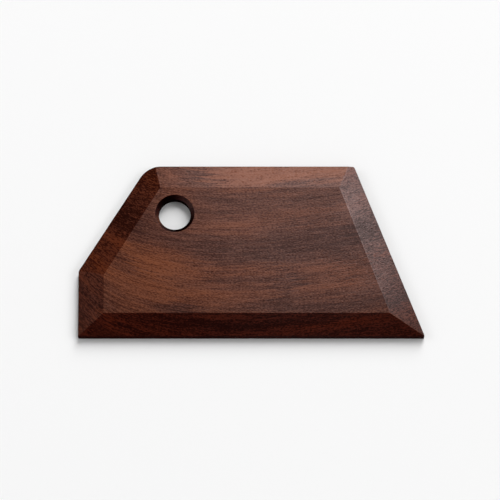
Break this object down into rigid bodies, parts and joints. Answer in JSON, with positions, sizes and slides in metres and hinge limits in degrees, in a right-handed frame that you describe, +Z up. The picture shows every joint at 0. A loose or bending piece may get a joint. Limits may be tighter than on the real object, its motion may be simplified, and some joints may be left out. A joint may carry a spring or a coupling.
{
  "type": "wooden hand scraper",
  "caption": "Flat irregular wooden hand scraper with a sloping bevel round its whole top face, one rounded corner and a chamfered hanging hole.",
  "frame": {"origin": "on the underside, below the middle of the plate's length and width", "axes": "+X along the working edge towards the pointed tip, +Y from the working edge towards the top edge, +Z up through the thickness, out of the bevelled face"},
  "size_m": [0.14, 0.0724, 0.0055],
  "materials": {
    "walnut": "satin oil"
  },
  "bodies": {
    "root": {"scraper_plate": "walnut"}
  },
  "joints": []
}
